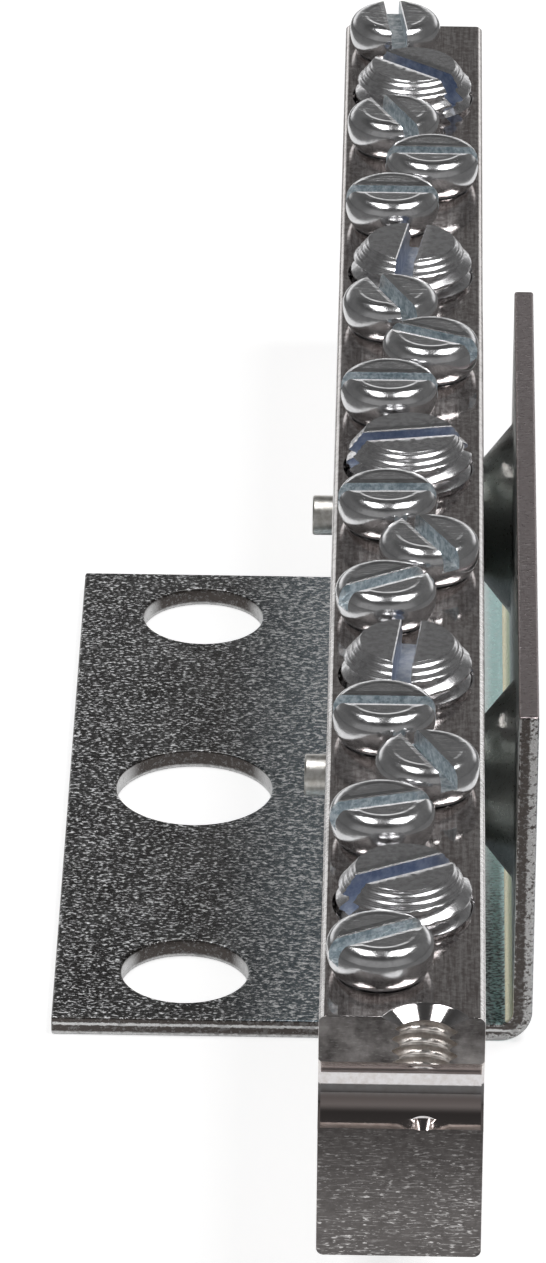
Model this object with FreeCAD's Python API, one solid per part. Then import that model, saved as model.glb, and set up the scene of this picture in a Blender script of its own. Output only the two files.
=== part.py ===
import FreeCAD, Part
import math
import os

# Ground bar: an aluminium terminal bar riveted to a folded steel bracket, in millimetres.
# Origin: underside of the bracket, at the centre of its middle mounting hole.
# +X runs from the mounting holes to the bar and the flange, +Y along the bar, +Z up.

V = FreeCAD.Vector
X_AXIS = V(1, 0, 0)
Y_AXIS = V(0, 1, 0)
Z_AXIS = V(0, 0, 1)
CUT_PAST = 1.0               # how far a cutter runs past the faces it opens

# Terminal bar: drawn stock with a repeating hole pattern, sawn through a terminal at the front end
BAR_WIDTH = 9.525
BAR_HEIGHT = 15.875
BAR_LENGTH = 139.7
BAR_EDGE_RADIUS = 0.45
REPEAT = 28.575              # one large, one right-row and two left-row terminals
REPEATS = 5
SMALL_STEP = 6.35            # from a right-row terminal to the left-row ones beside it
ROW_OFFSET = 1.31            # left and right rows from the bar's centre line
SAW_PAST = 0.95              # the front saw cut lies this far behind the sawn terminal's axis
DRILL_POINT_ANGLE = 118.0

# Small terminal: cross hole for the wire, tapped hole from the top with a drilled mouth
SMALL_WIRE_DIA = 4.7625
SMALL_WIRE_DEPTH = 5.18      # wire axis below the bar's top
SMALL_THREAD_DIA = 4.166
SMALL_MOUTH_DIA = 5.44
SMALL_DRILL_DIA = 3.3        # it runs on into the wire hole's floor, as the sawn terminal shows
SMALL_DRILL_DEPTH = 7.95

# Large terminal, on the bar's centre line
LARGE_WIRE_DIA = 8.3
LARGE_WIRE_DEPTH = 7.1
LARGE_THREAD_DIA = 7.9375

THREAD_PLAY = 0.05           # on the radius, between a screw and its tapped hole

# Small screw: slotted head with rounded edges, its bevelled underside in the hole's mouth
SMALL_HEAD_DIA = 6.25
SMALL_HEAD_HEIGHT = 2.65     # above the bar
SMALL_HEAD_SINK = 0.33       # into the mouth
SMALL_TOP_ROUND = 1.0
SMALL_SHANK_LENGTH = 6.35    # from the bar's top
SMALL_POINT = 1.0            # height and depth of the bevel at the shank's end
SMALL_SLOT_WIDTH = 1.1
SMALL_SLOT_DEPTH = 1.3

# Large screw: headless, slotted, with a lead cone at the top and a bevelled end
LARGE_SCREW_LENGTH = 6.35
LARGE_SCREW_PROUD = 2.43     # top face above the bar
LARGE_LEAD = 1.12            # the lead cone takes this much off the radius
LARGE_LEAD_HEIGHT = 1.45
LARGE_POINT = 0.75
LARGE_SLOT_WIDTH = 1.2
LARGE_SLOT_DEPTH = 2.3

# Slot directions as the screws stand, in degrees from +X towards +Y, front to rear
LEFT_SLOTS = [30, 18, 0, 32, 2, 0, 114, 0, 114, 96]
RIGHT_SLOTS = [115, 117, -25, 0]
LARGE_SLOTS = [29, 85, 11, 82, -40]

# Bracket: one sheet, folded up along the side of the bar
SHEET = 1.25
BEND_RADIUS = 0.8            # inside of the fold
BRACKET_LENGTH = 60.4
FLANGE_TOP = 22.65           # above the underside
PLATE_EDGE = 8.1             # from the line of holes to the plate's free edge
END_HOLE_DIA = 7.9
MIDDLE_HOLE_DIA = 10.0
HOLE_STEP = 24.1

# Where the bar stands on the bracket
BAR_FROM_HOLES = 8.7         # line of mounting holes to the bar's near side
BAR_LIFT = 7.1               # bar's underside above the plate
STANDOFF_HEIGHT = 2.1
STANDOFF_BASE_DIA = 12.6
STANDOFF_TIP_DIA = 7.5
STANDOFF_ROUND = 0.5

# Rivets through the standoffs and the bar
RIVET_STEP = 36.0
RIVET_DIA = 2.6
RIVET_PLAY = 0.03
RIVET_TAIL = 1.45            # past the bar's open side
RIVET_TAIL_BEVEL = 0.15
RIVET_TAIL_DISH = 0.25
RIVET_HEAD_DIA = 5.0
RIVET_HEAD_HEIGHT = 1.3
RIVET_HEAD_ROUND = 0.8

# Places that follow from the sizes
BAR_LEFT = BAR_FROM_HOLES
BAR_RIGHT = BAR_LEFT + BAR_WIDTH
BAR_MIDDLE = BAR_LEFT + BAR_WIDTH / 2
BAR_BOTTOM = SHEET + BAR_LIFT
BAR_TOP = BAR_BOTTOM + BAR_HEIGHT
BAR_FRONT = -BAR_LENGTH / 2
LEFT_ROW = BAR_MIDDLE - ROW_OFFSET
RIGHT_ROW = BAR_MIDDLE + ROW_OFFSET
FLANGE_INNER = BAR_RIGHT + STANDOFF_HEIGHT
FLANGE_OUTER = FLANGE_INNER + SHEET
RIVET_HEIGHT = (SHEET + FLANGE_TOP) / 2
RIVET_PLACES = {"front": -RIVET_STEP / 2, "rear": RIVET_STEP / 2}
MOUNTING_HOLES = {-HOLE_STEP: END_HOLE_DIA, 0: MIDDLE_HOLE_DIA, HOLE_STEP: END_HOLE_DIA}


def pattern_starts():
    """Y at which each repeat of the hole pattern starts, front to rear."""
    return [BAR_FRONT - SAW_PAST + k * REPEAT for k in range(REPEATS)]


def left_places():
    """Y of the left-row terminals, two in each repeat."""
    return [y + step for y in pattern_starts() for step in (SMALL_STEP, REPEAT - SMALL_STEP)]


def right_places():
    """Y of the right-row terminals, at the start of each repeat; the first is the sawn one."""
    return pattern_starts()


def large_places():
    """Y of the large terminals, in the middle of each repeat."""
    return [y + REPEAT / 2 for y in pattern_starts()]


def rounded_wire(corners, rounds):
    """Closed wire through the corners, with an arc of the given radius at each rounded one."""
    count = len(corners)
    stretches = []
    for i, corner in enumerate(corners):
        if rounds[i] == 0:
            stretches.append((corner, None, corner))
            continue
        to_last = (corners[i - 1] - corner).normalize()
        to_next = (corners[(i + 1) % count] - corner).normalize()
        half = to_last.getAngle(to_next) / 2
        reach = rounds[i] / math.tan(half)
        inward = (to_last + to_next).normalize()
        middle = corner + inward * (rounds[i] / math.sin(half) - rounds[i])
        stretches.append((corner + to_last * reach, middle, corner + to_next * reach))
    edges = []
    for i, (start, middle, end) in enumerate(stretches):
        if middle is not None:
            edges.append(Part.Arc(start, middle, end).toShape())
        after = stretches[(i + 1) % count][0]
        edges.append(Part.LineSegment(end, after).toShape())
    return Part.Wire(edges)


def turned(points):
    """Solid of revolution about Z from (radius, height) points; a third value rounds that corner."""
    corners = [V(p[0], 0, p[1]) for p in points]
    rounds = [p[2] if len(p) > 2 else 0 for p in points]
    return Part.Face(rounded_wire(corners, rounds)).revolve(V(0, 0, 0), Z_AXIS, 360)


def rounded_edge(radius, height, size):
    """Points of a turned head's rounded edge, as two bevels that follow its arc."""
    share = size * (1 - math.sqrt(0.5))
    return [(radius - size, height), (radius - share, height - share), (radius, height - size)]


def tapped_hole(thread_dia, wire_depth, x, y):
    """Hole from the bar's top down to the wire's axis."""
    radius = thread_dia / 2 + THREAD_PLAY
    return Part.makeCylinder(radius, wire_depth + CUT_PAST, V(x, y, BAR_TOP - wire_depth))


def point_height(radius):
    """Height of a drill's conical point."""
    return radius / math.tan(math.radians(DRILL_POINT_ANGLE / 2))


def drilled_mouth(x, y):
    """Shallow cone that a larger drill's point leaves around a small tapped hole."""
    radius = SMALL_MOUTH_DIA / 2
    return Part.makeCone(0, radius, point_height(radius), V(x, y, BAR_TOP - point_height(radius)))


def drill_pocket(x, y):
    """What the small terminal's drill takes out of the wire hole's floor."""
    radius = SMALL_DRILL_DIA / 2
    point = point_height(radius)
    pocket = turned([
        (0, -SMALL_WIRE_DEPTH),
        (radius, -SMALL_WIRE_DEPTH),
        (radius, point - SMALL_DRILL_DEPTH),
        (0, -SMALL_DRILL_DEPTH),
    ])
    return pocket.translated(V(x, y, BAR_TOP))


def cross_hole(diameter, y, z):
    """Hole right through the bar's width."""
    start = V(BAR_LEFT - CUT_PAST, y, z)
    return Part.makeCylinder(diameter / 2, BAR_WIDTH + 2 * CUT_PAST, start, X_AXIS)


def terminal_bar():
    corners = [
        V(BAR_LEFT, BAR_FRONT, BAR_BOTTOM),
        V(BAR_RIGHT, BAR_FRONT, BAR_BOTTOM),
        V(BAR_RIGHT, BAR_FRONT, BAR_TOP),
        V(BAR_LEFT, BAR_FRONT, BAR_TOP),
    ]
    section = Part.Face(rounded_wire(corners, [BAR_EDGE_RADIUS] * len(corners)))
    bar = section.extrude(Y_AXIS * BAR_LENGTH)
    small = [(RIGHT_ROW, y) for y in right_places()]
    small += [(LEFT_ROW, y) for y in left_places()]
    cuts = [drill_pocket(*small[0])]
    for x, y in small:
        cuts.append(cross_hole(SMALL_WIRE_DIA, y, BAR_TOP - SMALL_WIRE_DEPTH))
        cuts.append(tapped_hole(SMALL_THREAD_DIA, SMALL_WIRE_DEPTH, x, y))
        cuts.append(drilled_mouth(x, y))
    for y in large_places():
        cuts.append(cross_hole(LARGE_WIRE_DIA, y, BAR_TOP - LARGE_WIRE_DEPTH))
        cuts.append(tapped_hole(LARGE_THREAD_DIA, LARGE_WIRE_DEPTH, BAR_MIDDLE, y))
    for y in RIVET_PLACES.values():
        cuts.append(cross_hole(RIVET_DIA + 2 * RIVET_PLAY, y, RIVET_HEIGHT))
    return bar.cut(cuts)


def along_minus_x(shape, y):
    """Turn a shape made along +Z to point from the flange to the bar, on a rivet's axis."""
    placed = shape.copy()
    placed.rotate(V(0, 0, 0), Y_AXIS, -90)
    placed.translate(V(FLANGE_INNER, y, RIVET_HEIGHT))
    return placed


def standoff_shift():
    """How far a bend line of the cone moves between the sheet's two faces."""
    lean = math.atan2(STANDOFF_HEIGHT, (STANDOFF_BASE_DIA - STANDOFF_TIP_DIA) / 2)
    return SHEET * math.tan(lean / 2)


def standoff_body():
    """Cone pressed out of the flange, measured from the flange's inner face."""
    base_r = STANDOFF_BASE_DIA / 2
    skirt = base_r + STANDOFF_ROUND
    sunk = SHEET / 2
    return turned([
        (0, -sunk),
        (skirt, -sunk),
        (skirt, 0),
        (base_r, 0, STANDOFF_ROUND),
        (STANDOFF_TIP_DIA / 2, STANDOFF_HEIGHT, STANDOFF_ROUND),
        (0, STANDOFF_HEIGHT),
    ])


def standoff_hollow():
    """The hollow that the same pressing leaves on the flange's outer face, with the rivet's hole."""
    shift = standoff_shift()
    mouth_r = STANDOFF_BASE_DIA / 2 - shift
    rim = mouth_r + STANDOFF_ROUND
    floor = STANDOFF_HEIGHT - SHEET
    cone = turned([
        (0, -SHEET - CUT_PAST),
        (rim, -SHEET - CUT_PAST),
        (rim, -SHEET),
        (mouth_r, -SHEET, STANDOFF_ROUND),
        (STANDOFF_TIP_DIA / 2 - shift, floor),
        (0, floor),
    ])
    hole = Part.makeCylinder(RIVET_DIA / 2 + RIVET_PLAY, STANDOFF_HEIGHT + CUT_PAST)
    return cone.fuse(hole)


def mounting_bracket():
    front = -BRACKET_LENGTH / 2
    corners = [
        (-PLATE_EDGE, 0, 0),
        (FLANGE_OUTER, 0, BEND_RADIUS + SHEET),
        (FLANGE_OUTER, FLANGE_TOP, 0),
        (FLANGE_INNER, FLANGE_TOP, 0),
        (FLANGE_INNER, SHEET, BEND_RADIUS),
        (-PLATE_EDGE, SHEET, 0),
    ]
    outline = rounded_wire([V(x, front, z) for x, z, _ in corners], [c[2] for c in corners])
    bracket = Part.Face(outline).extrude(Y_AXIS * BRACKET_LENGTH)
    bracket = bracket.fuse([along_minus_x(standoff_body(), y) for y in RIVET_PLACES.values()])
    cuts = [along_minus_x(standoff_hollow(), y) for y in RIVET_PLACES.values()]
    for y, diameter in MOUNTING_HOLES.items():
        cuts.append(Part.makeCylinder(diameter / 2, SHEET + 2 * CUT_PAST, V(0, y, -CUT_PAST)))
    return bracket.cut(cuts).removeSplitter()


def drive_rivet():
    """Round-headed rivet on the standoff's axis, its head in the hollow and its tail past the bar."""
    seat = STANDOFF_HEIGHT - SHEET
    end = STANDOFF_HEIGHT + BAR_WIDTH + RIVET_TAIL
    shank_r = RIVET_DIA / 2
    head_r = RIVET_HEAD_DIA / 2
    head = [(r, seat - z) for r, z in rounded_edge(head_r, RIVET_HEAD_HEIGHT, RIVET_HEAD_ROUND)]
    return turned([
        (0, seat - RIVET_HEAD_HEIGHT),
        *head,
        (head_r, seat),
        (shank_r, seat),
        (shank_r, end - RIVET_TAIL_BEVEL),
        (shank_r - RIVET_TAIL_BEVEL, end),
        (shank_r / 2, end),
        (0, end - RIVET_TAIL_DISH),
    ])


def slot_cutter(width, depth, top, angle):
    """Driver slot across a screw's top, turned to the angle at which the screw stands."""
    reach = LARGE_THREAD_DIA
    cutter = Part.makeBox(2 * reach, width, depth + CUT_PAST, V(-reach, -width / 2, top - depth))
    cutter.rotate(V(0, 0, 0), Z_AXIS, angle)
    return cutter


def small_screw(angle):
    """Slotted screw with the bar's top at height 0 and a 45 degree underside on its head."""
    head_r = SMALL_HEAD_DIA / 2
    shank_r = SMALL_THREAD_DIA / 2
    body = turned([
        (0, SMALL_HEAD_HEIGHT),
        *rounded_edge(head_r, SMALL_HEAD_HEIGHT, SMALL_TOP_ROUND),
        (head_r, head_r - shank_r - SMALL_HEAD_SINK),
        (shank_r, -SMALL_HEAD_SINK),
        (shank_r, SMALL_POINT - SMALL_SHANK_LENGTH),
        (shank_r - SMALL_POINT, -SMALL_SHANK_LENGTH),
        (0, -SMALL_SHANK_LENGTH),
    ])
    return body.cut(slot_cutter(SMALL_SLOT_WIDTH, SMALL_SLOT_DEPTH, SMALL_HEAD_HEIGHT, angle))


def large_screw(angle):
    """Headless slotted screw with the bar's top at height 0."""
    thread_r = LARGE_THREAD_DIA / 2
    top = LARGE_SCREW_PROUD
    bottom = top - LARGE_SCREW_LENGTH
    body = turned([
        (0, top),
        (thread_r - LARGE_LEAD, top),
        (thread_r, top - LARGE_LEAD_HEIGHT),
        (thread_r, bottom + LARGE_POINT),
        (thread_r - LARGE_POINT, bottom),
        (0, bottom),
    ])
    return body.cut(slot_cutter(LARGE_SLOT_WIDTH, LARGE_SLOT_DEPTH, top, angle))


def screws():
    """Every terminal screw by name, numbered from the front end."""
    made = {}
    for number, (y, angle) in enumerate(zip(large_places(), LARGE_SLOTS), 1):
        made[f"lug_screw_{number}"] = large_screw(angle).translated(V(BAR_MIDDLE, y, BAR_TOP))
    for number, (y, angle) in enumerate(zip(left_places(), LEFT_SLOTS), 1):
        made[f"left_screw_{number}"] = small_screw(angle).translated(V(LEFT_ROW, y, BAR_TOP))
    for number, (y, angle) in enumerate(zip(right_places()[1:], RIGHT_SLOTS), 1):
        made[f"right_screw_{number}"] = small_screw(angle).translated(V(RIGHT_ROW, y, BAR_TOP))
    return made


nodes = {"terminal_bar": terminal_bar(), "mounting_bracket": mounting_bracket()}
for end_name, place in RIVET_PLACES.items():
    nodes[f"rivet_{end_name}"] = along_minus_x(drive_rivet(), place)
nodes.update(screws())

os.makedirs("parts", exist_ok=True)
for name, shape in nodes.items():
    solid = shape.Solids[0]
    solid.exportStep(f"parts/{name}.step")
    print(name, "solids", len(shape.Solids), "valid", shape.isValid(), "volume", round(solid.Volume, 2))
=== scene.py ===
# %% [markdown]
# # A ground bar, dressed in Blender
# A ground bar gathers the earth wires of a cabinet: wires go into its cross holes, and screws from above
# clamp them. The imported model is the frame, and every place below is read from it, in metres. This lesson
# gives each piece the finish and the fine shapes of the real thing: a drawn and drilled aluminium bar, a
# bracket folded from plated sheet, two rivets and nineteen slotted screws with real threads.

# %% Load the frame and keep its box
import math
import bmesh
import bpy
from mathutils import Matrix, Vector


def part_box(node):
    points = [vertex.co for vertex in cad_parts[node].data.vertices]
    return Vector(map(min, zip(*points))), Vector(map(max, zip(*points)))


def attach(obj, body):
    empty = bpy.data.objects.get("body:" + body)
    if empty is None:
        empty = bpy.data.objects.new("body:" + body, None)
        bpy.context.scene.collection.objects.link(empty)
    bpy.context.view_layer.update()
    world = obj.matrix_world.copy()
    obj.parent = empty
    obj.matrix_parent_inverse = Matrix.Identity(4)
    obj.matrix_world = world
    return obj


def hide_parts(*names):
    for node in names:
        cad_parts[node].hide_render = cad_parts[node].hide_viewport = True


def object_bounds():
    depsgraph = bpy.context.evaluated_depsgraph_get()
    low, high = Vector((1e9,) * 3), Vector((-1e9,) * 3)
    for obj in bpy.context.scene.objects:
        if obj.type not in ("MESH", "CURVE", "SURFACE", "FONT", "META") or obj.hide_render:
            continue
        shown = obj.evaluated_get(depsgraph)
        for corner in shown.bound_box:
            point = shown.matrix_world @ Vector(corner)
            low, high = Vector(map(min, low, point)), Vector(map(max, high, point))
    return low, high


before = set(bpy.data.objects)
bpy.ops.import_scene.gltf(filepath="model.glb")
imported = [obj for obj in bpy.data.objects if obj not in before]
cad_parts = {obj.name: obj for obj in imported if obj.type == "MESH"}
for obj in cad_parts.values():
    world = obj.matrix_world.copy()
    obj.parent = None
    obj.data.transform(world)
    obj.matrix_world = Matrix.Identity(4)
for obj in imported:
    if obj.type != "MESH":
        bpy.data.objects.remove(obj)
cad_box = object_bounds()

print(len(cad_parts), "nodes, box", [[round(v, 4) for v in corner] for corner in cad_box])

# %% [markdown]
# ## Places from the frame
# The screws stand on the axes of their holes, so the middle of a screw's box tells where to drill. The hole
# pattern of the bar repeats along its length, and the step between two lug screws is that repeat. These
# places could be typed in again, but read from the frame they follow the part when it changes.

# %% Measure the pieces
MM = 0.001


def middle(node):
    """Middle of a node's box."""
    low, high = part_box(node)
    return (low + high) / 2


bar_low, bar_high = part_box("terminal_bar")
bar_size = bar_high - bar_low
bracket_low, bracket_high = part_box("mounting_bracket")
left_screws = [f"left_screw_{k}" for k in range(1, 11)]
right_screws = [f"right_screw_{k}" for k in range(1, 5)]
lug_screws = [f"lug_screw_{k}" for k in range(1, 6)]
repeat = middle("lug_screw_2").y - middle("lug_screw_1").y
print("bar", [round(v / MM, 3) for v in bar_size], "mm, repeat", round(repeat / MM, 3), "mm")

# %% [markdown]
# ## Nodes as Python sums
# Shaders and geometry trees are both made of nodes. Wiring them by hand hides the formula, so one small
# class wraps a socket: adding two of them adds a Math node, and every other node comes from one method.

# %% A net of nodes and the values in it
class Value:
    """One output socket of a node tree. Sums on it add Math nodes."""

    def __init__(self, net, socket):
        self.net = net
        self.socket = socket

    def out(self, name):
        return Value(self.net, self.socket.node.outputs[name])

    def math(self, operation, *others):
        return self.net.math(operation, self, *others)

    def __add__(self, other):
        return self.math("ADD", other)

    def __sub__(self, other):
        return self.math("SUBTRACT", other)

    def __mul__(self, other):
        return self.math("MULTIPLY", other)

    def __truediv__(self, other):
        return self.math("DIVIDE", other)

    def __rsub__(self, other):
        return self.net.math("SUBTRACT", other, self)

    def __rtruediv__(self, other):
        return self.net.math("DIVIDE", other, self)

    def __gt__(self, other):
        return self.math("GREATER_THAN", other)

    def __lt__(self, other):
        return self.math("LESS_THAN", other)

    def __abs__(self):
        return self.math("ABSOLUTE")

    __radd__ = __add__
    __rmul__ = __mul__

    def between(self, start, end):
        """0 before start, 1 after end, straight in between."""
        return self.ramp("LINEAR", start, end)

    def smooth(self, start, end):
        """0 before start, 1 after end, eased in between."""
        return self.ramp("SMOOTHSTEP", start, end)

    def ramp(self, kind, start, end):
        settings = {"interpolation_type": kind, "clamp": True}
        return self.net.node("ShaderNodeMapRange", settings, {0: self, 1: start, 2: end})

    def blend(self, low, high):
        """A colour that goes from low to high with this value."""
        sockets = {0: self, 6: (*low, 1) if isinstance(low, tuple) else low,
                   7: (*high, 1) if isinstance(high, tuple) else high}
        return self.net.node("ShaderNodeMix", {"data_type": "RGBA"}, sockets, 2)

    def vector(self, operation, other, out=0):
        return self.net.node("ShaderNodeVectorMath", {"operation": operation}, {0: self, 1: other}, out)

    def xyz(self):
        parts = self.net.node("ShaderNodeSeparateXYZ", {}, {0: self})
        return parts.out("X"), parts.out("Y"), parts.out("Z")


class Net:
    """A node tree that is filled by expressions."""

    def __init__(self, tree):
        self.tree = tree

    def node(self, kind, settings=None, sockets=None, out=0):
        """Add a node: its settings first, then the values or links of its sockets."""
        made = self.tree.nodes.new(kind)
        for name, setting in (settings or {}).items():
            setattr(made, name, setting)
        for key, given in (sockets or {}).items():
            for one in given if isinstance(given, list) else [given]:
                if isinstance(one, Value):
                    self.tree.links.new(one.socket, made.inputs[key])
                else:
                    made.inputs[key].default_value = one
        return Value(self, made.outputs[out]) if made.outputs else None

    def math(self, operation, *values):
        return self.node("ShaderNodeMath", {"operation": operation}, dict(enumerate(values)))

    def join(self, x, y, z):
        return self.node("ShaderNodeCombineXYZ", {}, {0: x, 1: y, 2: z})


print("expressions ready")

# %% [markdown]
# ## Finishes
# All the metals are seen mostly by what they mirror, so their colour is that of the bare metal and the work
# goes into roughness and small dents. Pictures of metal could be wrapped round the pieces, but a formula has
# no seams and stays sharp close by. Patterns are measured in millimetres on Object coordinates, which stay
# with a piece when it moves.

# %% A metal and its patterns
def noise(place, scale, detail=2.0, rough=0.5):
    """Cloudy noise from 0 to 1."""
    sockets = {"Vector": place, "Scale": scale, "Detail": detail, "Roughness": rough}
    return place.net.node("ShaderNodeTexNoise", {}, sockets)


def new_metal(name):
    """A metallic material, its net, the place on the piece in millimetres, and the way the surface faces."""
    material = bpy.data.materials.new(name)
    material.use_nodes = True
    net = Net(material.node_tree)
    coords = net.node("ShaderNodeTexCoord")
    place = coords.out("Object").vector("MULTIPLY", (1 / MM, 1 / MM, 1 / MM))
    return material, net, place, coords.out("Normal")


def set_metal(material, colour, roughness, height, strength, depth, metal=None):
    """Wire a metal's colour, roughness and dents; depth is the dents' height in millimetres."""
    net = roughness.net
    shader = material.node_tree.nodes["Principled BSDF"]
    shader.inputs["Metallic"].default_value = 1.0
    if metal:
        net.tree.links.new(metal.socket, shader.inputs["Metallic"])
    bump = net.node("ShaderNodeBump", {}, {"Height": height, "Strength": strength, "Distance": depth * MM})
    for name, value in {"Base Color": colour, "Roughness": roughness, "Normal": bump}.items():
        net.tree.links.new(value.socket, shader.inputs[name])
    return material


print("a noise of scale 1 has clouds of about", MM, "m")

# %% [markdown]
# ### Drawn aluminium
# The bar was pulled through a die, which leaves fine lines along its length. Its ends were cut by a saw,
# whose teeth leave short level marks on a rougher face, whose dark tone is painted shade. Drilled walls are
# the brightest. The long edges carry a painted white highlight, and the open groove is painted darker higher
# up as shade. Three materials could share the bar, but the borders between them are places that can be
# measured. So one material tells its surfaces apart, by their distance from the stock's outside and by the
# way they face.

# %% Surfaces of the bar
CORNER = 0.46
# Width of the band on the long edges that gets a painted white highlight
HIGHLIGHT_BAND = 0.30
SKIN = 0.01
SAWN_DEPTH = 0.03


def bar_surfaces(place, normal):
    """Where the bar is drawn skin, a sawn end or a drilled wall, and where its long edges carry a painted
    highlight.
    """
    x, y, z = place.xyz()
    centre = (bar_low + bar_high) / 2 / MM
    half = bar_size / 2 / MM
    beside = abs(x - centre.x) - half.x
    above = abs(z - centre.z) - half.z
    beyond = abs(y - centre.y) - half.y
    sawn = (abs(normal.xyz()[1]) > 0.9) * (beyond > -SAWN_DEPTH)
    corner = (beside > -CORNER) * (above > -CORNER)
    skin = (beside.math("MAXIMUM", above) > -SKIN).math("MAXIMUM", corner)
    line = (beside > -HIGHLIGHT_BAND) * (above > -HIGHLIGHT_BAND)
    return skin, sawn, (1 - skin) * (1 - sawn), line


print("edge lines", HIGHLIGHT_BAND, "mm wide on a bar", round(bar_size.x / MM, 3), "mm wide")

# %% Colours of the bar
DULL_SKIN, PALE_SKIN = (0.44, 0.385, 0.37), (0.90, 0.85, 0.83)
# Pale specks, and the white of the painted highlight on the long edges
SPECK, PAINTED_EDGE_HIGHLIGHT = (0.95, 0.92, 0.90), (1.0, 0.98, 0.97)
# The sawn face's dark tone is painted shade; its worn patches and tooth marks are lighter
SAW_PAINTED_SHADE, SAW_WORN, TOOTH_MARK = (0.07, 0.063, 0.061), (0.43, 0.405, 0.395), (0.80, 0.78, 0.77)
WALL_PALE, WALL_DULL = (0.80, 0.78, 0.79), (0.66, 0.62, 0.60)
# The groove's tones: lighter low down, and painted shade higher up
GROOVE_LOW, GROOVE_PAINTED_SHADE = (0.66, 0.58, 0.56), (0.27, 0.225, 0.215)
THREAD_DULL, THREAD_PALE = (0.62, 0.56, 0.52), (0.88, 0.84, 0.80)
# Heights over the bar's underside, each as the start and the end of a change
SAW_LOW, SAW_HIGH = (2.0, 9.0), (10.0, 13.0)
GROOVE_SHADE, GROOVE_TOP = (8.6, 10.2), (11.0, 12.0)
TAP_FOOT, TAP_MOUTH = (11.5, 12.5), (15.1, 15.3)


def drawn_skin(lines, mottle, specks, edge):
    """Two tones in lines along the bar, pale specks, and a painted white highlight on the edges."""
    skin = (lines * 0.5 + mottle * 0.5).smooth(0.38, 0.62).blend(DULL_SKIN, PALE_SKIN)
    skin = (specks * 0.6).blend(skin, SPECK)
    return edge.blend(skin, PAINTED_EDGE_HIGHLIGHT)


def sawn_face(place, marks, mottle, rise):
    """A cut painted dark as shade, with pale tooth marks, most of them low down, and worn near the top."""
    x, y, z = place.xyz()
    nicks = noise(place.net.join(x * 2.2, y + 5.0, z * 8.0), 1.0, 3.0, 0.6)
    low = 1 - rise.smooth(*SAW_LOW)
    patches = noise(place, 0.4, 2.0).smooth(0.38, 0.6)
    streaks = marks.smooth(0.52, 0.68) * 0.55 + nicks.smooth(0.58, 0.68)
    streaks = streaks * (0.15 + low * 0.35 + patches * low * 0.7)
    worn = noise(place, 0.55, 4.0, 0.6).smooth(0.25, 0.8) * rise.smooth(*SAW_HIGH)
    wear = (mottle * 0.3 + worn * 0.9 + low * 0.14).between(0.1, 1.0)
    return streaks.between(0.0, 1.0).blend(wear.blend(SAW_PAINTED_SHADE, SAW_WORN), TOOTH_MARK)


def drilled_wall(mottle, up, rise, tapped):
    """Bright walls. The groove that the saw opened is painted darker higher up as shade, and its thread is
    dull.
    """
    wall = mottle.smooth(0.3, 0.8).blend(WALL_PALE, WALL_DULL)
    # Painted shade: the groove's upward faces get darker higher up
    groove = up.smooth(0.1, 0.4) * (1 - rise.smooth(*GROOVE_TOP))
    wall = groove.blend(wall, rise.smooth(*GROOVE_SHADE).blend(GROOVE_LOW, GROOVE_PAINTED_SHADE))
    return tapped.blend(wall, mottle.smooth(0.3, 0.7).blend(THREAD_DULL, THREAD_PALE))


print("the saw's marks start", SAW_LOW[0], "mm above the bar's underside, the thread", TAP_FOOT[0], "mm")

# %% Bar finish
# Where along the bar the painted edge highlight fades, in millimetres
HIGHLIGHT_FADE = (-40.0, 60.0)


def bar_aluminium():
    material, net, place, normal = new_metal("bar_aluminium")
    x, y, z = place.xyz()
    skin, sawn, drilled, line = bar_surfaces(place, normal)
    rise = z - bar_low.z / MM
    lines = noise(net.join(x * 6.0, y * 0.25, z * 6.0), 1.0, 4.0, 0.65)
    marks = noise(net.join(x * 1.1, y, z * 9.0), 1.0, 5.0, 0.7)
    mottle = noise(place, 2.4, 4.0, 0.65)
    specks = noise(place, 4.5, 3.0, 0.6).smooth(0.60, 0.70)
    ragged = (mottle + specks * 0.3).smooth(0.35, 0.6)
    # Painted white highlight on the long edges, ragged and weaker towards the back
    edge = line * (0.75 + ragged * 0.25) * (1 - y.smooth(*HIGHLIGHT_FADE) * 0.65)
    tapped = rise.smooth(*TAP_FOOT) * (1 - rise.smooth(*TAP_MOUTH))
    outside = sawn.blend(drawn_skin(lines, mottle, specks, edge), sawn_face(place, marks, mottle, rise))
    colour = drilled.blend(outside, drilled_wall(mottle, normal.xyz()[2], rise, tapped))
    roughness = (0.03 + lines * 0.05 + mottle * 0.06) * (1 - drilled) + sawn * 0.22 + edge * 0.2
    roughness = roughness + drilled * (0.05 + mottle * 0.06 + tapped * 0.22)
    height = (lines * 0.07 + mottle * 0.08) * skin + marks * sawn + mottle * drilled * 0.3
    # The painted edge highlight is less metallic, so it stays white
    return set_metal(material, colour, roughness, height, 0.25, 0.02, 1 - edge * 0.75)


finish = {"bar_aluminium": bar_aluminium()}
print("bar finish:", len(finish["bar_aluminium"].node_tree.nodes), "nodes")

# %% [markdown]
# ### Plated sheet
# The bracket's zinc is a dull coat on rough sheet: tiny dents catch the light as bright grains, which are
# painted glints. In the gap beside the bar the light that the gap reflects is painted in: white and turquoise
# on the floor, yellow in the fold and pale teal on the flange. Next to the bar the plate is painted bluer and
# lighter, with more glints, as reflected light. Where the sheet was punched or sheared its steel is dark,
# with a torn, bright lower edge and a burr at the folded end, and the sides of the holes get a painted bright
# reflection. Dents alone would be too faint at this size, so the grains are also lighter and less metallic
# than the coat.

# %% Coat of the bracket
SHEET = 1.25
GAP_START = bar_high.x / MM
FLANGE_INSIDE = bracket_high.x / MM - SHEET
NEAR_BAR = (1.0, 8.5)
CRACKLE_END = (-24.0, 0.0)
# The coat's own tones, and the painted blue of reflected light next to the bar
COAT_DARK, COAT_PALE, PAINTED_REFLECTION_BLUE = (0.05, 0.046, 0.044), (0.10, 0.098, 0.096), (0.21, 0.26, 0.29)
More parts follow.
